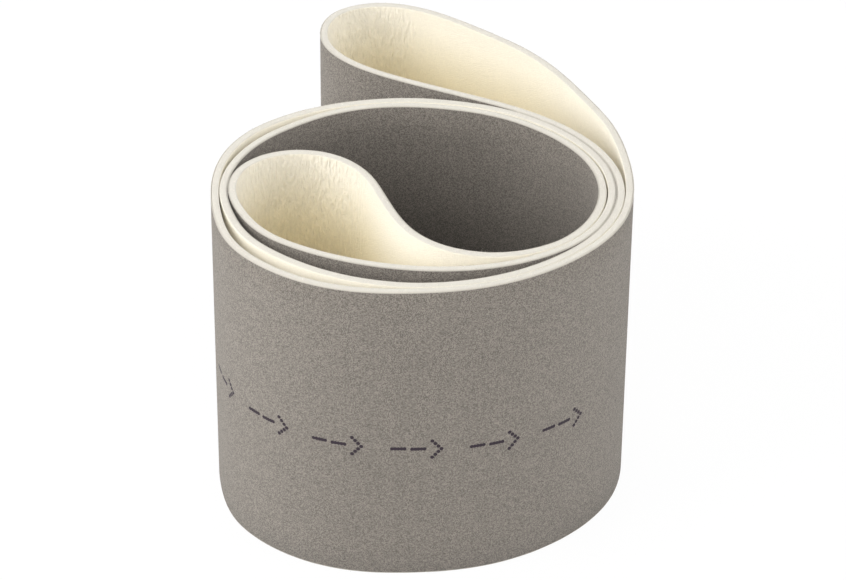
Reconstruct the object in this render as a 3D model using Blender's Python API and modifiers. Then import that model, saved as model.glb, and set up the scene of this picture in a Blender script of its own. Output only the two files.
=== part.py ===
"""Felt polishing belt: an endless band of thick felt with a grey cloth back, stood on its edge.

The loop is pressed flat into a doubled strip, felt to felt, and the strip is wound about one and a
half turns. Its two ends stay open as bights: one inside the coil, one behind it. Metres, Z up, and
the photographed front of the coil faces -Y.
"""
import math

import bmesh
import bpy
import numpy as np

# Driving dimensions of the belt
BELT_LENGTH = 2.000
BELT_WIDTH = 0.150
FELT_THICKNESS = 0.0028
CLOTH_THICKNESS = 0.0003
GLUE_LINE = 0.0003
CLOTH_SETBACK = 0.0005
EDGE_ROUNDING = 0.0005

# The coil seen from above: how far its spiral stands out from round, as shares of its radius, at even
# steps of one turn clockwise from +X
OUTLINE_SHARES = (
    0.0801, 0.0661, 0.0309, -0.0079, -0.0363, -0.0545,
    -0.0552, -0.0265, 0.0070, 0.0332, 0.0459, 0.0283,
    0.0242, 0.0335, 0.0290, -0.0038, -0.0398, -0.0650,
    -0.0722, -0.0654, -0.0379, -0.0065, 0.0312, 0.0666,
)

# The room left where strands touch, and how much wider it grows where they stand apart
TURN_CLEARANCE = 0.0004
FRONT_FELT_GAP = 0.0059
REAR_FELT_GAP = 0.0039
SIDE_FELT_GAP = 0.0008
THROAT_FELT_GAP = 0.0092
FRONT_CLOTH_GAP = 0.0099
REAR_CLOTH_GAP = 0.0019

# The angles of the coil at which each of these gaps opens and closes, clockwise from +X
FRONT_FELT_ARC = (-83, -177)
REAR_FELT_ARC = (-180, -252)
SIDE_FELT_ARC = (-213, -404)
THROAT_FELT_ARC = (-397, -480)
FRONT_CLOTH_ARC = (-24, -180)
REAR_CLOTH_ARC = (52, 95)
GAP_EASE = 1.5

# Angles between which each strand is wound, clockwise from +X, and how often its place is worked out
STATION_STEP = 15
LEAD_WOUND = (-30, -540)
FOLLOW_WOUND = (60, -420)

# The two open bights, from the coil's centre, in the order that the belt runs through them: the inner
# one as shares of the radius at which the lead strand ends, the outer one of that at which it starts
INNER_BIGHT_SHARES = (
    (-0.944, 0.212),
    (-0.786, 0.345),
    (-0.577, 0.372),
    (-0.384, 0.288),
    (-0.250, 0.121),
    (-0.170, -0.079),
    (-0.095, -0.281),
    (0.012, -0.469),
    (0.177, -0.605),
)
OUTER_BIGHT_SHARES = (
    (0.198, 0.927),
    (-0.065, 1.055),
    (-0.309, 1.213),
    (-0.461, 1.441),
    (-0.401, 1.744),
    (-0.175, 1.837),
    (0.108, 1.744),
    (0.350, 1.562),
    (0.563, 1.367),
    (0.728, 1.144),
    (0.863, 0.886),
    (0.979, 0.619),
    (1.041, 0.334),
    (1.060, 0.046),
    (1.009, -0.253),
)

# How finely the middle line is worked out. The coil's size is found from the belt's length, from a
# first guess that the whole belt goes this many times round the coil
SAMPLES_PER_SPAN = 24
ROUNDS_OF_BELT = 4
LENGTH_TRIALS = 12

# Finish of the model
LOOP_STEPS = 320
ROUNDING_STEPS = 2
CORNER_ANGLE_MIN = 60
FELT_COLOUR = (0.84, 0.80, 0.69)
CLOTH_COLOUR = (0.27, 0.245, 0.22)
FELT_ROUGHNESS = 0.95
CLOTH_ROUGHNESS = 0.85

BELT_THICKNESS = FELT_THICKNESS + GLUE_LINE + CLOTH_THICKNESS


def clear_scene():
    """Start from an empty scene."""
    for item in list(bpy.data.objects):
        bpy.data.objects.remove(item, do_unlink=True)


def swell(angle, gap, arc):
    """How much a gap has widened at this angle: it opens, is widest half way, and closes."""
    start, end = arc
    share = (angle - start) / (end - start)
    if share <= 0.0 or share >= 1.0:
        return 0.0
    return gap * math.sin(math.pi * share) ** GAP_EASE


def outline(angle):
    """How far the coil's outline stands out from round at this angle, as a share of its radius."""
    turn = np.arange(len(OUTLINE_SHARES)) * 360 / len(OUTLINE_SHARES)
    return np.interp(-angle, turn, OUTLINE_SHARES, period=360)


def lead_radius(angle, radius):
    """The strand that comes in from the outer bight and winds clockwise to the inner one."""
    pitch = 2 * (BELT_THICKNESS + TURN_CLEARANCE)
    turn_before = angle + 360
    felt_gap = swell(turn_before, FRONT_FELT_GAP, FRONT_FELT_ARC)
    cloth_gap = swell(turn_before, FRONT_CLOTH_GAP, FRONT_CLOTH_ARC)
    return radius * (1 + outline(angle)) + pitch * angle / 360 - felt_gap - cloth_gap


def follow_radius(angle, radius):
    """The strand felt to felt inside the lead strand, and cloth to cloth outside its next turn."""
    felt_gap = swell(angle, FRONT_FELT_GAP, FRONT_FELT_ARC)
    felt_gap += swell(angle, REAR_FELT_GAP, REAR_FELT_ARC)
    felt_gap += swell(angle, SIDE_FELT_GAP, SIDE_FELT_ARC)
    felt_gap += swell(angle, THROAT_FELT_GAP, THROAT_FELT_ARC)
    cloth_gap = swell(angle, REAR_CLOTH_GAP, REAR_CLOTH_ARC)
    return lead_radius(angle, radius) - BELT_THICKNESS - TURN_CLEARANCE - felt_gap + cloth_gap


def polar(radius, angle):
    """A point at this radius and angle in degrees."""
    return (radius * math.cos(math.radians(angle)), radius * math.sin(math.radians(angle)))


def route(radius):
    """The points that the belt's middle line passes through, once round the closed loop."""
    lead_start, lead_end = LEAD_WOUND
    follow_start, follow_end = FOLLOW_WOUND
    lead_angles = range(lead_start, lead_end - 1, -STATION_STEP)
    follow_angles = range(follow_end, follow_start + 1, STATION_STEP)
    lead = [polar(lead_radius(angle, radius), angle) for angle in lead_angles]
    follow = [polar(follow_radius(angle, radius), angle) for angle in follow_angles]
    inner = np.array(INNER_BIGHT_SHARES) * lead_radius(lead_end, radius)
    outer = np.array(OUTER_BIGHT_SHARES) * lead_radius(lead_start, radius)
    return np.vstack((lead, inner, follow, outer))


def smooth_loop(points):
    """A closed cubic spline through the points, sampled evenly within each span."""
    after = np.roll(points, -1, axis=0)
    spans = np.linalg.norm(after - points, axis=1)
    before = np.roll(spans, 1)
    count = len(points)
    system = np.diag(2.0 * (spans + before))
    for i in range(count):
        system[i, i - 1] += before[i]
        system[i, (i + 1) % count] += spans[i]
    slopes = (after - points) / spans[:, None]
    bends = np.linalg.solve(system, 6.0 * (slopes - np.roll(slopes, 1, axis=0)))
    next_bends = np.roll(bends, -1, axis=0)
    line = []
    for step in range(SAMPLES_PER_SPAN):
        t = step / SAMPLES_PER_SPAN
        s = 1.0 - t
        curve = s * points + t * after
        curve += (spans[:, None] ** 2 / 6.0) * ((s ** 3 - s) * bends + (t ** 3 - t) * next_bends)
        line.append(curve)
    return np.stack(line, axis=1).reshape(-1, 2)


def travelled(line):
    """Distance along a closed line at each of its points, and once more at its start."""
    steps = np.linalg.norm(np.roll(line, -1, axis=0) - line, axis=1)
    return np.concatenate(([0.0], np.cumsum(steps)))


def middle_line():
    """The belt's middle line in evenly spaced points, with the coil sized to the belt's length."""
    radius = BELT_LENGTH / (ROUNDS_OF_BELT * math.tau)
    for _ in range(LENGTH_TRIALS):
        line = smooth_loop(route(radius))
        radius *= BELT_LENGTH / travelled(line)[-1]
    distance = travelled(line)
    closed = np.vstack((line, line[:1]))
    stops = np.linspace(0.0, distance[-1], LOOP_STEPS, endpoint=False)
    return np.stack([np.interp(stops, distance, closed[:, axis]) for axis in (0, 1)], axis=1)


def outward(line):
    """Unit normals on the cloth side of a line that runs clockwise."""
    along = np.roll(line, -1, axis=0) - np.roll(line, 1, axis=0)
    side = np.stack((-along[:, 1], along[:, 0]), axis=1)
    return side / np.linalg.norm(side, axis=1)[:, None]


def centred(line):
    """The line moved so that the cloth's outer face is centred on the origin."""
    face = line + outward(line) * BELT_THICKNESS / 2
    return line - (face.min(axis=0) + face.max(axis=0)) / 2


def layer(name, line, offset, thickness, height, material, home):
    """One layer of the belt: a standing ribbon beside the middle line, given its thickness."""
    shape = bmesh.new()
    path = line + outward(line) * offset
    foot = [shape.verts.new((x, y, -height / 2)) for x, y in path]
    rim = [shape.edges.new((a, b)) for a, b in zip(foot, foot[1:] + foot[:1])]
    raised = bmesh.ops.extrude_edge_only(shape, edges=rim)["geom"]
    top = [item for item in raised if isinstance(item, bmesh.types.BMVert)]
    bmesh.ops.translate(shape, verts=top, vec=(0.0, 0.0, height))
    bmesh.ops.recalc_face_normals(shape, faces=shape.faces)
    mesh = bpy.data.meshes.new(name)
    shape.to_mesh(mesh)
    shape.free()
    mesh.materials.append(material)
    band = bpy.data.objects.new(name, mesh)
    band.location.z = BELT_WIDTH / 2
    home.objects.link(band)
    solid = band.modifiers.new("thickness", "SOLIDIFY")
    solid.thickness = thickness
    solid.offset = 0.0
    solid.use_even_offset = True
    return band


def round_edges(band):
    """Take the sharp corners off a layer's cut edges."""
    edge = band.modifiers.new("edges", "BEVEL")
    edge.width = EDGE_ROUNDING
    edge.segments = ROUNDING_STEPS
    edge.limit_method = "ANGLE"
    edge.angle_limit = math.radians(CORNER_ANGLE_MIN)


def finish(name, colour, roughness):
    """A plain, non-metallic material."""
    material = bpy.data.materials.new(name)
    material.use_nodes = True
    surface = material.node_tree.nodes["Principled BSDF"]
    surface.inputs["Base Color"].default_value = (*colour, 1.0)
    surface.inputs["Roughness"].default_value = roughness
    surface.inputs["Metallic"].default_value = 0.0
    material.diffuse_color = (*colour, 1.0)
    return material


def felt_band(line, home):
    """The thick felt, which is the belt's working face and lies inside the closed loop."""
    offset = (FELT_THICKNESS - BELT_THICKNESS) / 2
    felt = finish("cream_felt", FELT_COLOUR, FELT_ROUGHNESS)
    band = layer("felt_band", line, offset, FELT_THICKNESS, BELT_WIDTH, felt, home)
    round_edges(band)
    return band


def backing_cloth(line, home):
    """The thin woven back, cut a little narrower than the felt it is glued to."""
    offset = (BELT_THICKNESS - CLOTH_THICKNESS) / 2
    cloth = finish("grey_cloth", CLOTH_COLOUR, CLOTH_ROUGHNESS)
    height = BELT_WIDTH - 2 * CLOTH_SETBACK
    return layer("backing_cloth", line, offset, CLOTH_THICKNESS, height, cloth, home)


def main():
    """Build the belt in its own collection."""
    clear_scene()
    home = bpy.data.collections.new("felt_polishing_belt")
    bpy.context.scene.collection.children.link(home)
    line = centred(middle_line())
    felt_band(line, home)
    backing_cloth(line, home)


main()
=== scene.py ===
# %% [markdown]
# # A felt polishing belt, coiled on its edge
# The belt is an endless band of thick cream felt with a thin grey cloth glued to its back. It lies
# pressed flat into a doubled strip, and the strip is wound up like a rolled-up strap, with an open
# bight at each end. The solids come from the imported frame. This lesson dresses them: it weaves the
# cloth, crimps the felt where it is bent tight, adds loose fibres and printed marks, and lights it
# all.

# %% Load the frame
import math

import bmesh
import bpy
import numpy as np
from mathutils import Matrix, Vector


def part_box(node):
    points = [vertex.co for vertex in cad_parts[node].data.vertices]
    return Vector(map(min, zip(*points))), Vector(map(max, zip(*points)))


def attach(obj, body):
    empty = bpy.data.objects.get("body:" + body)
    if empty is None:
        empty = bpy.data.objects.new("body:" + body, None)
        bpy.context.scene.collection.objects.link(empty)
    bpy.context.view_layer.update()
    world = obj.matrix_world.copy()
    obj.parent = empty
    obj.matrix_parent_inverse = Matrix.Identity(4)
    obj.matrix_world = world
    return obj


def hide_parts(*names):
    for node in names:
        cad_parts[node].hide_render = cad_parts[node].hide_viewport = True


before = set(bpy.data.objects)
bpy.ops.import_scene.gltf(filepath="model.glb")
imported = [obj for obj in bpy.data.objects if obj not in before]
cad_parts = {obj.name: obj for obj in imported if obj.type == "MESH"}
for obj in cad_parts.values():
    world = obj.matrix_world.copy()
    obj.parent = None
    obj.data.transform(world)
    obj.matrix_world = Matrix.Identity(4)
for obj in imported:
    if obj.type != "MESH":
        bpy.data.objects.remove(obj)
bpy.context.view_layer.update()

print("frame nodes:", sorted(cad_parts))

# %% [markdown]
# ## The line that the belt follows
# Every layer of the belt follows one closed line, seen from above. The CAD cloth holds that line
# in the ring of faces along its top edge. Everything below the ring is deleted from a copy, and
# the ring's outer border is walked from vertex to vertex, so the new pieces go exactly where the
# CAD says.

# %% Read the cloth's outer line from its solid
MERGE = 1e-6
LEVEL = 1e-5


def walk(start, edges):
    """The points of a closed border, in order, seen from above."""
    points, here, before = [], start, None
    while not points or here is not start:
        points.append(here.co.to_2d())
        step = next(e for e in here.link_edges if e in edges and e is not before)
        here, before = step.other_vert(here), step
    return np.array(points)


def enclosed(points):
    """Area inside a closed line, positive where it runs anticlockwise."""
    after = np.roll(points, -1, axis=0)
    return float((points[:, 0] * after[:, 1] - after[:, 0] * points[:, 1]).sum() / 2)


def outer_line(node):
    """The outer border of a node's top edge, run clockwise from its rearmost point."""
    ring = bmesh.new()
    ring.from_mesh(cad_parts[node].data)
    bmesh.ops.remove_doubles(ring, verts=ring.verts, dist=MERGE)
    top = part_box(node)[1].z
    bmesh.ops.delete(ring, geom=[v for v in ring.verts if v.co.z < top - LEVEL], context="VERTS")
    borders = {e for e in ring.edges if len(e.link_faces) == 1}
    first = max(ring.verts, key=lambda v: v.co.y)
    line = walk(first, borders)
    ring.free()
    return line if enclosed(line) < 0 else np.roll(line[::-1], 1, axis=0)


cloth_line = outer_line("backing_cloth")
plan_cm2 = round(-enclosed(cloth_line) * 1e4)
print("the cloth's line has", len(cloth_line), "points and encloses", plan_cm2, "cm2")

# %% [markdown]
# The solid's line has a corner every 6 mm, which would show on a close look. A closed cubic spline
# through the same points is smooth, and it gives the direction that faces outwards at every place.

# %% Smooth the line
FINE_STEP = 0.00025


def distances(points):
    """How far each point is from the first, along the line through them."""
    steps = np.linalg.norm(np.diff(points, axis=0), axis=1)
    return np.concatenate(([0.0], np.cumsum(steps)))


def spline(points):
    """A closed cubic spline through the points, in fine steps."""
    after = np.roll(points, -1, axis=0)
    spans = np.linalg.norm(after - points, axis=1)
    before = np.roll(spans, 1)
    count = len(points)
    system = np.diag(2.0 * (spans + before))
    for i in range(count):
        system[i, i - 1] += before[i]
        system[i, (i + 1) % count] += spans[i]
    slopes = (after - points) / spans[:, None]
    bends = np.linalg.solve(system, 6.0 * (slopes - np.roll(slopes, 1, axis=0)))
    next_bends = np.roll(bends, -1, axis=0)
    curve = []
    for t in np.linspace(0.0, 1.0, round(spans.max() / FINE_STEP), endpoint=False):
        s = 1.0 - t
        sag = (spans[:, None] ** 2 / 6.0) * ((s ** 3 - s) * bends + (t ** 3 - t) * next_bends)
        curve.append(s * points + t * after + sag)
    return np.stack(curve, axis=1).reshape(-1, 2)


class BeltLine:
    """The closed line on the cloth's outer face, read by distance along it."""

    def __init__(self, points):
        curve = spline(points)
        self.place = np.vstack((curve, curve[:1]))
        self.distance = distances(self.place)
        self.length = float(self.distance[-1])
        along = np.roll(curve, -1, axis=0) - np.roll(curve, 1, axis=0)
        along /= np.linalg.norm(along, axis=1)[:, None]
        side = np.column_stack((-along[:, 1], along[:, 0]))
        self.side = np.vstack((side, side[:1]))
        turn = np.unwrap(np.arctan2(along[:, 1], along[:, 0]))
        bend = -np.gradient(turn) / np.gradient(self.distance[:-1])
        self.bend = np.concatenate((bend, bend[:1]))

    def read(self, values, u):
        """Values along the line at the distances u, which may run past its start or end."""
        columns = [np.interp(u % self.length, self.distance, column) for column in values.T]
        return np.stack(columns, axis=-1)

    def bend_at(self, u):
        """How sharply the line bends at u, as 1 / radius: above 0 with the felt inside the bend."""
        return np.interp(u % self.length, self.distance, self.bend)


belt = BeltLine(cloth_line)
BELT_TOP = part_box("felt_band")[1].z


def wind(flat):
    """Carry points of the flat belt into the coil.

    Each point is a distance along, a depth under the cloth's outer face and a height.
    """
    flat = np.asarray(flat, float)
    place = belt.read(belt.place, flat[:, 0])
    side = belt.read(belt.side, flat[:, 0])
    side /= np.linalg.norm(side, axis=1)[:, None]
    return np.column_stack((place - side * flat[:, 1:2], flat[:, 2]))


print("belt length on its cloth face", round(belt.length * 1000), "mm")
print("tightest bend", round(1000 / np.abs(belt.bend).max(), 1), "mm radius")

# %% [markdown]
# ## A ribbon that is cut flat and then wound
# Felt and cloth are cut flat in a workshop and wound up afterwards, and the mesh is made the same
# way. One operator makes a flat grid. Its rows are folded round the layer's section, its columns
# are carried along the belt, and the two open ends and the long seam meet and are merged. The flat
# sizes are kept as the UV map, in metres, so weave and nap follow the belt round every bend. An
# attribute keeps how far each point is from the belt's nearer edge, because the edges have a
# finish of their own.

# %% A function that winds a ribbon
def new_piece(name, mesh, finish):
    """A piece of the belt that rides with the coil and takes its place from its mesh."""
    mesh.materials.clear()
    mesh.materials.append(finish)
    piece = bpy.data.objects.new(name, mesh)
    bpy.context.scene.collection.objects.link(piece)
    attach(piece, "root")
    return piece


def wound_ribbon(name, stations, section, finish, relief, crimped=None):
    """A closed ribbon that is made flat and wound with the belt.

    The section is (depth, height) points that start and end at the same one. relief moves the flat
    points before they are wound, and crimped gives the share that the felt's finish reads.
    """
    section = np.array(section)
    sheet = bmesh.new()
    columns, rows = len(stations) - 1, len(section) - 1
    bmesh.ops.create_grid(sheet, x_segments=columns, y_segments=rows, size=1.0)
    mesh = bpy.data.meshes.new(name)
    sheet.to_mesh(mesh)
    grid = np.empty(len(mesh.vertices) * 3)
    mesh.vertices.foreach_get("co", grid)
    share = grid.reshape(-1, 3)[:, :2] / 2 + 0.5
    column = np.rint(share[:, 0] * columns).astype(int)
    row = np.rint(share[:, 1] * rows).astype(int)
    flat = np.column_stack((stations[column], section[row]))
    cut = np.column_stack((flat[:, 0], distances(section)[row]))
    if crimped is not None:
        shares = mesh.attributes.new("crimped", "FLOAT", "POINT")
        shares.data.foreach_set("value", crimped(flat))
    mesh.vertices.foreach_set("co", wind(relief(flat)).ravel())
    corners = np.empty(len(mesh.loops), int)
    mesh.loops.foreach_get("vertex_index", corners)
    mesh.uv_layers.new(name="cut").uv.foreach_set("vector", cut[corners].ravel())
    sheet.clear()
    sheet.from_mesh(mesh)
    bmesh.ops.remove_doubles(sheet, verts=sheet.verts, dist=MERGE)
    bmesh.ops.recalc_face_normals(sheet, faces=sheet.faces)
    sheet.to_mesh(mesh)
    sheet.free()
    mesh.shade_smooth()
    heights = np.array([v.co.z for v in mesh.vertices])
    edges = mesh.attributes.new("from_edge", "FLOAT", "POINT")
    edges.data.foreach_set("value", np.minimum(heights, BELT_TOP - heights))
    print(name, "has", len(mesh.polygons), "faces")
    return new_piece(name, mesh, finish)


# %% [markdown]
# ## Writing shader maths as Python
# A material is a sum worked out at every point of a surface. The small class below stands for one
# socket, so that 0.8 + 0.2 * grain adds the Math nodes by itself. Every other node comes from one
# method, node(), which takes the settings first and then what goes into its sockets.

# %% Socket sums
class Sum:
    """A number, colour or vector that a node gives out."""

    def __init__(self, finish, socket):
        self.finish = finish
        self.socket = socket

    def maths(self, operation, first, second=0.0):
        return self.finish.node("Math", {"operation": operation}, {0: first, 1: second})

    def __add__(self, other):
        return self.maths("ADD", self, other)

    def __sub__(self, other):
        return self.maths("SUBTRACT", self, other)

    def __mul__(self, other):
        return self.maths("MULTIPLY", self, other)

    def __truediv__(self, other):
        return self.maths("DIVIDE", self, other)

    def __mod__(self, other):
        return self.maths("FLOORED_MODULO", self, other)

    def __abs__(self):
        return self.maths("ABSOLUTE", self)

    def whole(self):
        return self.maths("FLOOR", self)

    def wave(self):
        return self.maths("SINE", self)

    def between(self, low, high):
        """0 up to low, 1 from high, and a smooth rise between them."""
        sockets = {"Value": self, "From Min": low, "From Max": high}
        return self.finish.node("MapRange", {"interpolation_type": "SMOOTHSTEP"}, sockets)

    __radd__ = __add__
    __rmul__ = __mul__


# %% [markdown]
# The second class holds a material while it is made. Its methods add the few nodes that this belt
# needs: its place on the flat belt, noise, blends of two colours, and relief.

# %% The finish class
class Finish:
    """A material in the making."""

    def __init__(self, name, roughness, sheen=0.0, sheen_roughness=0.5):
        self.material = bpy.data.materials.new(name)
        self.material.use_nodes = True
        self.tree = self.material.node_tree
        self.surface = self.tree.nodes["Principled BSDF"]
        plain = {"Roughness": roughness, "Specular IOR Level": 0.2}
        plain.update({"Sheen Weight": sheen, "Sheen Roughness": sheen_roughness})
        for socket, value in plain.items():
            self.surface.inputs[socket].default_value = value

    def feed(self, socket, value):
        """Link a sum to a socket, or write a plain value on it."""
        if isinstance(value, Sum):
            self.tree.links.new(value.socket, socket)
        else:
            socket.default_value = value

    def node(self, kind, settings, sockets, out=0):
        """Add a node of this kind and give back one of its outputs."""
        made = self.tree.nodes.new("ShaderNode" + kind)
        for setting, value in settings.items():
            setattr(made, setting, value)
        for socket, value in sockets.items():
            self.feed(made.inputs[socket], value)
        return Sum(self, made.outputs[out])

    def flat_place(self):
        """The point's place on the flat belt, as its UV map gives it, and the two numbers apart."""
        place = self.node("UVMap", {"uv_map": "cut"}, {})
        along = self.node("SeparateXYZ", {}, {0: place}, 0)
        across = self.node("SeparateXYZ", {}, {0: place}, 1)
        return place, along, across

    def attribute(self, name):
        """A number that the mesh keeps for every point."""
        return self.node("Attribute", {"attribute_name": name}, {}, 2)

    def noise(self, where, scale, detail=2.0, roughness=0.5):
        """Soft noise with a middle value of 0."""
        sockets = {"Vector": where, "Scale": scale, "Detail": detail, "Roughness": roughness}
        return self.node("TexNoise", {}, sockets) - 0.5

    def pair(self, x, y):
        """A vector from two numbers, each with a scale of its own."""
        return self.node("CombineXYZ", {}, {0: x, 1: y})

    def grains(self, x, y):
        """One random number from 0 to 1 for each whole pair (x, y)."""
        return self.node("TexWhiteNoise", {"noise_dimensions": "2D"}, {"Vector": self.pair(x, y)})

    def blend(self, share, first, second):
        """A colour between two colours."""
        sockets = {"Factor": share, 6: first, 7: second}
        return self.node("Mix", {"data_type": "RGBA"}, sockets, 2)

    def shade(self, colour, tone):
        """A colour made lighter or darker by a number round 1."""
        grey = self.node("CombineXYZ", {}, {0: tone, 1: tone, 2: tone})
        return self.node("VectorMath", {"operation": "MULTIPLY"}, {0: colour, 1: grey})

    def colour(self, value):
        self.feed(self.surface.inputs["Base Color"], value)

    def relief(self, height, distance):
        """Raise the surface by height times distance, in metres."""
        sockets = {"Strength": 1.0, "Distance": distance, "Height": height}
        self.feed(self.surface.inputs["Normal"], self.node("Bump", {}, sockets))


# %% [markdown]
# ## The felt's finish
# Pressed wool felt is matt and slightly mottled. Deep on its face the colour is warmer and
# brighter, which is painted warm light in the hollows, and nearer the belt's edges it is paler and
# dimmer, which is painted shade that holds the highlights there down. Along the cut edges themselves
# the colour is darker still, painted shade that keeps the edges that face up no brighter than the
# sides. Three sizes of noise give the nap, and a fourth, longer up than along, gives small creases
# where the felt is crimped, both as relief and as painted shade and light along the creases.

# %% Felt
# The first two colours are painted light: the deep one warmer and brighter for the hollows, the one
# near the edges dimmer to hold the highlights down.
FELT_DEEP_PAINTED_WARM_LIGHT = (0.95, 0.85, 0.595, 1.0)
FELT_NEAR_EDGES_PAINTED_SHADE = (0.86, 0.815, 0.705, 1.0)
PAINTED_LIGHT_DEPTH = 0.050
# The cut edges' colour is painted shade, darker so that the edges that face up look no brighter than
# the sides.
FELT_CUT_PAINTED_SHADE = (0.60, 0.57, 0.505, 1.0)
INNER_CORNER = 0.00055
FIBRES_PER_METRE = 1700.0
TUFTS_PER_METRE = 520.0
CLOUDS_PER_METRE = 90.0
CREASES_ALONG = 640.0
CREASES_ACROSS = 210.0
FELT_RELIEF = 0.0005

felt = Finish("cream_felt", 0.95, sheen=0.15, sheen_roughness=0.6)
place, along, across = felt.flat_place()
from_edge = felt.attribute("from_edge")
# Painted light: the face colour runs from the dimmer one near the edges to the warmer, brighter one
# deep down.
face_and_painted_light = felt.blend(from_edge.between(0.0, PAINTED_LIGHT_DEPTH), FELT_NEAR_EDGES_PAINTED_SHADE, FELT_DEEP_PAINTED_WARM_LIGHT)
fibres = felt.noise(place, FIBRES_PER_METRE, 3.0, 0.65)
tufts = felt.noise(place, TUFTS_PER_METRE, 2.0)
clouds = felt.noise(place, CLOUDS_PER_METRE, 2.0)
crimping = felt.attribute("crimped")
creases_and_painted_shade = felt.noise(felt.pair(along * CREASES_ALONG, across * CREASES_ACROSS), 1.0, 2.0)
# The crimp term in the tone is painted shade and light along the creases; the same noise also gives
# their relief.
tone = 1.02 + 0.22 * fibres + 0.10 * tufts + 0.05 * clouds + 0.16 * crimping * creases_and_painted_shade
# The darker colour along the cut edges is painted shade.
felt.colour(felt.shade(felt.blend(from_edge.between(0.0, INNER_CORNER), FELT_CUT_PAINTED_SHADE, face_and_painted_light), tone))
felt.relief(0.9 * fibres + 0.5 * tufts + 2.5 * crimping * creases_and_painted_shade, FELT_RELIEF)
print("cream_felt has", len(felt.tree.nodes), "shader nodes")

# %% [markdown]
# ## The cloth's finish
# The back is a fine plain weave of grey yarn. Each yarn has its own tone, and so has each
# crossing, which gives the heathered look. Crossings alternate like a chessboard between the yarn
# that runs along the belt and the one that runs across it, and the yarn on top is the one that
# shows. A yarn is round across its run and dips at both ends of a crossing; its colour has painted
# shade in the dips and a painted highlight on the top. Where the cloth is cut, the ends of the yarns
# are open and paler.

# %% Cloth
YARN_PITCH = 0.00042
WOBBLE = 0.0003
CLOTH_LIGHT = (0.318, 0.286, 0.248, 1.0)
CLOTH_DARK = (0.088, 0.078, 0.067, 1.0)
CLOTH_ENDS = (0.56, 0.525, 0.46, 1.0)
ENDS_FROM = 0.0003
ENDS_TO = 0.0007
WOBBLES_PER_METRE = 260.0
SLUBS_ALONG = 260.0
SLUBS_ACROSS = 1400.0
SHADES_PER_METRE = 60.0
LENGTHWAYS_SEED = 7.0
CROSSWAYS_SEED = 13.0
CLOTH_RELIEF = 0.00012

cloth = Finish("grey_cloth", 0.85, sheen=0.12, sheen_roughness=0.5)
place, along, across = cloth.flat_place()
wobble = WOBBLE * cloth.noise(place, WOBBLES_PER_METRE, 1.0)
along = along + wobble
across = across + wobble
column = (along / YARN_PITCH).whole()
line_of_yarn = (across / YARN_PITCH).whole()
on_top = (column + line_of_yarn) % 2.0
crossing = cloth.grains(column, line_of_yarn)
lengthways = cloth.grains(line_of_yarn, LENGTHWAYS_SEED)
crossways = cloth.grains(column, CROSSWAYS_SEED)
yarn = lengthways + on_top * (crossways - lengthways)
slubs = cloth.noise(cloth.pair(along * SLUBS_ALONG, across * SLUBS_ACROSS), 1.0, 2.0)
clouds = cloth.noise(place, SHADES_PER_METRE, 2.0)
tone = 0.70 * crossing + 0.08 * yarn + 0.12 * slubs + 0.08 * clouds + 0.11
round_across = abs((across * (math.pi / YARN_PITCH)).wave())
round_along = abs((along * (math.pi / YARN_PITCH)).wave())
warp = round_across * (0.5 + 0.5 * round_along)
weft = round_along * (0.5 + 0.5 * round_across)
hump_and_painted_shade = warp + on_top * (weft - warp)
from_edge = cloth.attribute("from_edge")
# The yarn's colour is darker where it dips and lighter on its top: painted shade and painted
# highlight.
weave_and_painted_shade = cloth.shade(cloth.blend(tone, CLOTH_DARK, CLOTH_LIGHT), 0.66 + 0.65 * hump_and_painted_shade)
cloth.colour(cloth.blend(from_edge.between(ENDS_FROM, ENDS_TO), CLOTH_ENDS, weave_and_painted_shade))
cloth.relief(hump_and_painted_shade + 0.3 * crossing, CLOTH_RELIEF)
print("grey_cloth has", len(cloth.tree.nodes), "shader nodes")

# %% [markdown]
# ## The felt band
# Where felt is bent with its face inwards it has too little room, so it crimps into fine upright
# creases. Their depth follows the bend of the line, and they are real relief in the mesh. The
# columns of the grid stand close together there and far apart on the easy bends.

# %% Felt section and stations
FELT_OUTER = 0.0004
FELT_INNER = 0.0035
OUTER_CORNER = 0.0002
CORNER_STEPS = 3
EDGE_ROWS = np.array((0.0012, 0.0025))
FACE_MARGIN = 0.005
FACE_ROWS = 34
BEND_STEP = 0.0005
EASY_STEP = 0.0030
CRIMP_STEP = 0.00055
CRIMP_FROM = 1 / 0.100
CRIMP_FULL = 1 / 0.040


def rounded_section(outer, inner, top, rows):
    """A thin standing rectangle with rounded corners, as (depth, height) points round it."""
    points = []
    corners = ((outer, 0.0, 180), (inner, 0.0, 270), (inner, top, 0), (outer, top, 90))
    for depth, height, start in corners:
        corner = OUTER_CORNER if depth == outer else INNER_CORNER
        inwards = corner if depth == outer else -corner
        upwards = corner if height == 0.0 else -corner
        for step in range(CORNER_STEPS + 1):
            angle = math.radians(start + 90 * step / CORNER_STEPS)
            reach = depth + inwards + corner * math.cos(angle)
            level = height + upwards + corner * math.sin(angle)
            points.append((reach, level))
        if start == 270:
            points += [(inner, level) for level in rows]
    return np.array(points + points[:1])


def crimp_share(u):
    """How far the felt is crimped at u, from 0 to 1."""
    share = np.clip((belt.bend_at(u) - CRIMP_FROM) / (CRIMP_FULL - CRIMP_FROM), 0.0, 1.0)
    return share * share * (3 - 2 * share)


def spaced_stations(easy, close):
    """Distances along the belt, close together where the felt is crimped."""
    fine = np.arange(0.0, belt.length, BEND_STEP)
    crowding = 1.0 / (easy + (close - easy) * (crimp_share(fine) > 0.0))
    count = np.concatenate(([0.0], np.cumsum(crowding * BEND_STEP)))
    numbers = np.linspace(0.0, count[-1], int(count[-1]))
    return np.interp(numbers, count, np.append(fine, belt.length))


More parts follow.
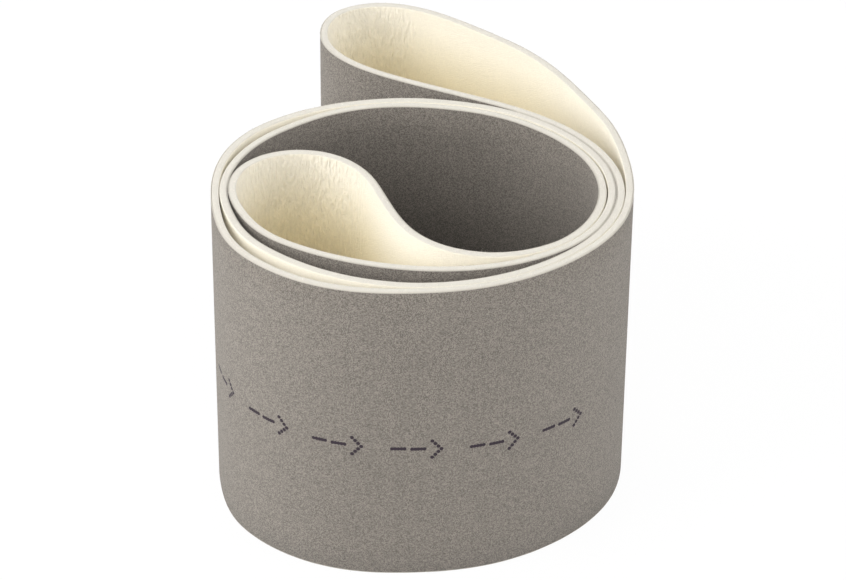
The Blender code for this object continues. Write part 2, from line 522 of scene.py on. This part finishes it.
middle_rows = np.linspace(FACE_MARGIN, BELT_TOP - FACE_MARGIN, FACE_ROWS)
face_rows = np.concatenate((EDGE_ROWS, middle_rows, BELT_TOP - EDGE_ROWS[::-1]))
felt_section = rounded_section(FELT_OUTER, FELT_INNER, BELT_TOP, face_rows)
felt_stations = spaced_stations(EASY_STEP, CRIMP_STEP)
print(len(felt_stations), "stations and", len(felt_section), "points round the section")

# %% [markdown]
# The creases are waves of many lengths added up, each a little out of upright. They are deepest
# where the bend is sharp, and they fade out towards the cut edges, which stay straight.

# %% Crimp and wind the felt
CRIMP_DEPTH = 0.00011
CRIMP_WAVES = 30
CRIMP_LENGTHS = (0.0013, 0.0032)
CRIMP_SLANT = 1 / 0.013
CRIMP_FADE = 0.006
CRIMP_SEED = 11
SAME_DEPTH = 1e-5


def crimp(u, height):
    """Upright creases: many slightly slanted waves of different lengths added up."""
    draw = np.random.default_rng(CRIMP_SEED)
    total = np.zeros_like(u)
    for _ in range(CRIMP_WAVES):
        length = draw.uniform(*CRIMP_LENGTHS)
        slant = draw.normal(0.0, CRIMP_SLANT)
        total += np.cos(2 * math.pi * (u / length + height * slant) + draw.uniform(0, 2 * math.pi))
    return total / math.sqrt(CRIMP_WAVES / 2)


def felt_relief(flat):
    """Creases in the innermost third of the felt, which fade towards the cut edges."""
    depth = (flat[:, 1] - FELT_OUTER) / (FELT_INNER - FELT_OUTER)
    inside = np.clip(depth * 3 - 2, 0.0, 1.0)
    from_edge = np.minimum(flat[:, 2], BELT_TOP - flat[:, 2])
    inside *= np.clip(from_edge / CRIMP_FADE, 0.0, 1.0)
    flat = flat.copy()
    flat[:, 1] += CRIMP_DEPTH * crimp_share(flat[:, 0]) * inside * crimp(flat[:, 0], flat[:, 2])
    return flat


def crimped(flat):
    """How far a point of the flat felt is crimped: only on its face, and not at its cut edges."""
    return crimp_share(flat[:, 0]) * (flat[:, 1] > FELT_INNER - SAME_DEPTH)


felt_piece = wound_ribbon(
    "felt_ply", felt_stations, felt_section, felt.material, felt_relief, crimped
)
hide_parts("felt_band")

# %% [markdown]
# ## The cloth back
# The cloth is a thin ribbon on the felt's outer side. It is cut a little narrower than the felt,
# and its edge wavers a little, as scissors and wear leave it.

# %% Wind the cloth
CLOTH_OUTER = -0.0001
CLOTH_INNER = 0.0003
CLOTH_SETBACK = 0.00015
CLOTH_STEP = 0.0018
CLOTH_ROWS = 12
FRAY = 0.00012
FRAY_WAVES = 12
FRAY_LENGTHS = (0.004, 0.030)
FRAY_POWER = 12
FRAY_SEED = 5


def cloth_section():
    """The cloth's thin section, with its corners cut."""
    low = CLOTH_SETBACK
    high = BELT_TOP - CLOTH_SETBACK
    nick = (CLOTH_INNER - CLOTH_OUTER) / 5
    rows = np.linspace(low + nick, high - nick, CLOTH_ROWS)
    inner = [(CLOTH_INNER, height) for height in rows]
    outer = [(CLOTH_OUTER, height) for height in rows[::-1]]
    top = [(CLOTH_INNER - nick, high), (CLOTH_OUTER + nick, high)]
    bottom = [(CLOTH_OUTER + nick, low), (CLOTH_INNER - nick, low)]
    return inner + top + outer + bottom + inner[:1]


def frayed(flat):
    """Let the cloth's two cut edges waver."""
    draw = np.random.default_rng(FRAY_SEED)
    flat = flat.copy()
    waver = np.zeros(len(flat))
    for _ in range(FRAY_WAVES):
        length = draw.uniform(*FRAY_LENGTHS)
        phase = draw.uniform(0, 2 * math.pi)
        waver += np.cos(2 * math.pi * flat[:, 0] / length + phase) / FRAY_WAVES
    ends = np.clip(np.abs(flat[:, 2] / BELT_TOP - 0.5) * 2, 0.0, 1.0) ** FRAY_POWER
    flat[:, 2] += FRAY * waver * ends * np.sign(flat[:, 2] - BELT_TOP / 2)
    return flat


cloth_stations = np.linspace(0.0, belt.length, round(belt.length / CLOTH_STEP))
cloth_piece = wound_ribbon("cloth_ply", cloth_stations, cloth_section(), cloth.material, frayed)
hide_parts("backing_cloth")

# %% [markdown]
# ## Loose fibres
# Felt is never quite clean at its cut edges: short fibres stand out of them, and the cloth's edge
# sheds a few grey ones. Each is a thin curve of four points, laid out on the flat belt. The curves
# become one mesh, which is wound with the belt.

# %% Scatter the fibres
FIBRE_RADIUS = 0.00003
FIBRE_TAPER = (1.0, 0.4)
FIBRE_STEPS = 3
ALONG_SPREAD = 1.0
DEPTH_SPREAD = 0.7
RISE_SPREAD = 0.6


def fibre_curve(draw, root, heading, length, curl):
    """The points of one fibre: it sets off along its heading and curls away."""
    points = [root]
    for _ in range(FIBRE_STEPS):
        heading = heading + draw.normal(0.0, curl, 3)
        heading = heading / np.linalg.norm(heading)
        points.append(points[-1] + heading * length / FIBRE_STEPS)
    return points


def scattered(name, seed, count, depths, top_share, length, curl, finish):
    """Fibres that stand out of the belt's upper and lower edges, as one wound mesh.

    top_share is the share of them on the upper edge, and curl how far each step turns away.
    """
    draw = np.random.default_rng(seed)
    tuft = bpy.data.curves.new(name, "CURVE")
    tuft.dimensions = "3D"
    tuft.bevel_depth = FIBRE_RADIUS
    tuft.bevel_resolution = 0
    for _ in range(count):
        upper = draw.random() < top_share
        below_edge = draw.uniform(0.0, INNER_CORNER)
        level = BELT_TOP - below_edge if upper else below_edge
        root = np.array([draw.uniform(0.0, belt.length), draw.uniform(*depths), level])
        heading = draw.normal(0.0, (ALONG_SPREAD, DEPTH_SPREAD, RISE_SPREAD))
        heading[2] = abs(heading[2]) if upper else -abs(heading[2])
        heading /= np.linalg.norm(heading)
        points = fibre_curve(draw, root, heading, draw.uniform(*length), curl)
        strand = tuft.splines.new("POLY")
        strand.points.add(len(points) - 1)
        strand.points.foreach_set("co", np.column_stack((points, np.ones(len(points)))).ravel())
        strand.points.foreach_set("radius", np.linspace(*FIBRE_TAPER, len(points)))
    holder = bpy.data.objects.new(name + "_curves", tuft)
    bpy.context.scene.collection.objects.link(holder)
    view = bpy.context.evaluated_depsgraph_get()
    mesh = bpy.data.meshes.new_from_object(holder.evaluated_get(view))
    bpy.data.objects.remove(holder, do_unlink=True)
    flat = np.empty(len(mesh.vertices) * 3)
    mesh.vertices.foreach_get("co", flat)
    flat = flat.reshape(-1, 3)
    flat[:, 2] = np.maximum(flat[:, 2], 0.0)
    mesh.vertices.foreach_set("co", wind(flat).ravel())
    mesh.shade_smooth()
    print(name, "has", count, "fibres and", len(mesh.polygons), "faces")
    return new_piece(name, mesh, finish)


fluff = Finish("felt_fibre", 0.9)
fluff.colour((0.88, 0.84, 0.74, 1.0))
lint = Finish("cloth_fibre", 0.9)
lint.colour((0.30, 0.28, 0.26, 1.0))
felt_fluff = scattered(
    "felt_fluff", seed=3, count=4200, depths=(FELT_OUTER, FELT_INNER), top_share=0.75,
    length=(0.0005, 0.0026), curl=0.5, finish=fluff.material,
)
cloth_lint = scattered(
    "cloth_lint", seed=4, count=1200, depths=(CLOTH_OUTER, CLOTH_INNER), top_share=0.7,
    length=(0.0004, 0.0012), curl=0.4, finish=lint.material,
)

# %% [markdown]
# ## Printed marks
# A dotted print runs round the back of such a belt. Here it holds nothing but the arrow that shows
# which way the belt runs, over and over. Every dot is a thin round patch of ink, made on the flat
# belt.

# %% Print the arrows
DOT_RADIUS = 0.00092
DOT_SIDES = 8
INK_THICKNESS = 0.00003
DOTS_APART_ALONG = 0.00135
DOTS_APART_UP = 0.00145
SLOT = 0.00875
FIRST_SLOT = 0.2814
MIDDLE_COLUMN = 2
MIDDLE_ROW = 3
PRINT_HEIGHT = 0.0655
PRINT_RISE = 0.035
ARROW_HEAD = ((0, 0), (1, 1), (2, 2), (3, 3), (2, 4), (1, 5), (0, 6))
DASH = ((0, 3), (1, 3), (2, 3), (3, 3), (4, 3))
PRINTED = (ARROW_HEAD, DASH, DASH, ())
REPEATS = 6

ink_finish = Finish("ink", 0.6)
ink_finish.colour((0.032, 0.023, 0.032, 1.0))
print_shape = bmesh.new()
lying = Matrix.Rotation(math.pi / 2, 4, "X")
ink_depth = CLOTH_OUTER - INK_THICKNESS / 2
dot_size = {"radius1": DOT_RADIUS, "radius2": DOT_RADIUS, "depth": INK_THICKNESS}
for number in range(REPEATS * len(PRINTED)):
    start = number * SLOT
    for dot_column, dot_row in PRINTED[number % len(PRINTED)]:
        dot_along = FIRST_SLOT + start - (dot_column - MIDDLE_COLUMN) * DOTS_APART_ALONG
        level = PRINT_HEIGHT + PRINT_RISE * start + (MIDDLE_ROW - dot_row) * DOTS_APART_UP
        spot = Matrix.Translation((dot_along, ink_depth, level)) @ lying
        bmesh.ops.create_cone(
            print_shape, cap_ends=True, segments=DOT_SIDES, matrix=spot, **dot_size
        )
print_mesh = bpy.data.meshes.new("ink_marks")
print_shape.to_mesh(print_mesh)
flat_print = np.array([v.co for v in print_mesh.vertices])
print_mesh.vertices.foreach_set("co", wind(flat_print).ravel())
print_shape.clear()
print_shape.from_mesh(print_mesh)
bmesh.ops.recalc_face_normals(print_shape, faces=print_shape.faces)
print_shape.to_mesh(print_mesh)
print_shape.free()
ink_marks = new_piece("ink_marks", print_mesh, ink_finish.material)
print("ink_marks has", len(print_mesh.polygons), "faces")

# %% [markdown]
# ## Camera
# The photograph looks down on the coil from its front. The camera stands 1.6 m away with a long
# lens, 33.55 degrees above the middle of the coil, and is rolled by half a degree.

# %% Camera
AIM = Vector((0.0005, -0.0110, 0.075))
DISTANCE = 1.6
RISE = math.radians(33.55)
ROLL = math.radians(0.49)
FOCAL_PIXELS = 3467.7
IMAGE_WIDTH = 846
SENSOR_MM = 36.0
EYE = AIM + DISTANCE * Vector((0.0, -math.cos(RISE), math.sin(RISE)))

eye = bpy.data.cameras.new("eye")
eye.sensor_width = SENSOR_MM
eye.lens = eye.sensor_width * FOCAL_PIXELS / IMAGE_WIDTH
camera = bpy.data.objects.new("eye", eye)
bpy.context.scene.collection.objects.link(camera)
towards = (AIM - EYE).to_track_quat("-Z", "Y").to_matrix().to_4x4()
camera.matrix_world = Matrix.Translation(EYE) @ towards @ Matrix.Rotation(ROLL, 4, "Z")
bpy.context.scene.camera = camera
print("lens", round(eye.lens, 1), "mm, camera", round((AIM - EYE).length, 3), "m away")

# %% [markdown]
# ## Lamps
# Four large soft lamps stand round the coil, as round a white studio table. The strongest is on
# its left, and all of them point at the coil's middle.

# %% Lamps
COIL_MIDDLE = (0.0, -0.03, 0.08)


def soft_lamp(name, place, size, power):
    """A large square lamp that points at the coil's middle."""
    lamp = bpy.data.lights.new(name, "AREA")
    lamp.shape = "RECTANGLE"
    lamp.size, lamp.size_y = size
    lamp.energy = power
    held = bpy.data.objects.new(name, lamp)
    bpy.context.scene.collection.objects.link(held)
    held.location = place
    held.rotation_euler = (Vector(COIL_MIDDLE) - Vector(place)).to_track_quat("-Z", "Y").to_euler()
    print(name, "gives", power, "W")


soft_lamp("lamp_left", (-1.3, -0.5, 0.9), (1.2, 1.2), 25.0)
soft_lamp("lamp_right", (1.4, -0.3, 0.8), (1.2, 1.2), 14.5)
soft_lamp("lamp_front", (0.0, -1.5, 1.3), (1.6, 1.2), 10.5)
soft_lamp("lamp_back", (-0.2, 1.4, 1.2), (1.6, 1.2), 13.5)

# %% [markdown]
# ## Room and floor
# The room lights the coil softly from all sides, but the camera, a mirror or a glass sees it as
# plain white. What they see of the floor is mostly white too, with enough of its lit colour left
# to keep the coil's shadow.

# %% World
ROOM_LIGHT = 0.44


def seen_share(tree):
    """1 for the rays that reach the eye straight, off a mirror or through glass, 0 for the rest."""
    rays = tree.nodes.new("ShaderNodeLightPath")
    share = rays.outputs["Is Camera Ray"]
    for kind in ("Is Glossy Ray", "Is Transmission Ray"):
        larger = tree.nodes.new("ShaderNodeMath")
        larger.operation = "MAXIMUM"
        tree.links.new(share, larger.inputs[0])
        tree.links.new(rays.outputs[kind], larger.inputs[1])
        share = larger.outputs[0]
    return share


sky = bpy.data.worlds.new("white_room")
sky.use_nodes = True
bpy.context.scene.world = sky
room = sky.node_tree
air = room.nodes["Background"]
air.inputs["Color"].default_value = (1.0, 1.0, 1.0, 1.0)
seen = room.nodes.new("ShaderNodeMath")
seen.operation = "MULTIPLY_ADD"
room.links.new(seen_share(room), seen.inputs[0])
seen.inputs[1].default_value = 1.0 - ROOM_LIGHT
seen.inputs[2].default_value = ROOM_LIGHT
room.links.new(seen.outputs[0], air.inputs["Strength"])
print("the room lights the coil at", ROOM_LIGHT, "and is seen at 1")

# %% Floor
FLOOR_WHITE = 0.95
FLOOR_HALF_SIZE = 4.0

white_floor = Finish("white_floor", 0.9)
white_floor.colour((0.9, 0.9, 0.9, 1.0))
lit = Sum(white_floor, white_floor.surface.outputs[0])
glow = white_floor.node("Emission", {}, {"Color": (1.0, 1.0, 1.0, 1.0), "Strength": 1.0})
look = Sum(white_floor, seen_share(white_floor.tree))
covered = white_floor.node("MixShader", {}, {0: look * FLOOR_WHITE, 1: lit, 2: glow})
white_floor.feed(white_floor.tree.nodes["Material Output"].inputs["Surface"], covered)

ground = bmesh.new()
bmesh.ops.create_grid(ground, x_segments=1, y_segments=1, size=FLOOR_HALF_SIZE)
floor_mesh = bpy.data.meshes.new("studio_floor")
ground.to_mesh(floor_mesh)
ground.free()
floor_mesh.materials.append(white_floor.material)
floor = bpy.data.objects.new("studio_floor", floor_mesh)
bpy.context.scene.collection.objects.link(floor)
bpy.context.scene.view_settings.view_transform = "Standard"
print("floor is", 2 * FLOOR_HALF_SIZE, "m wide")
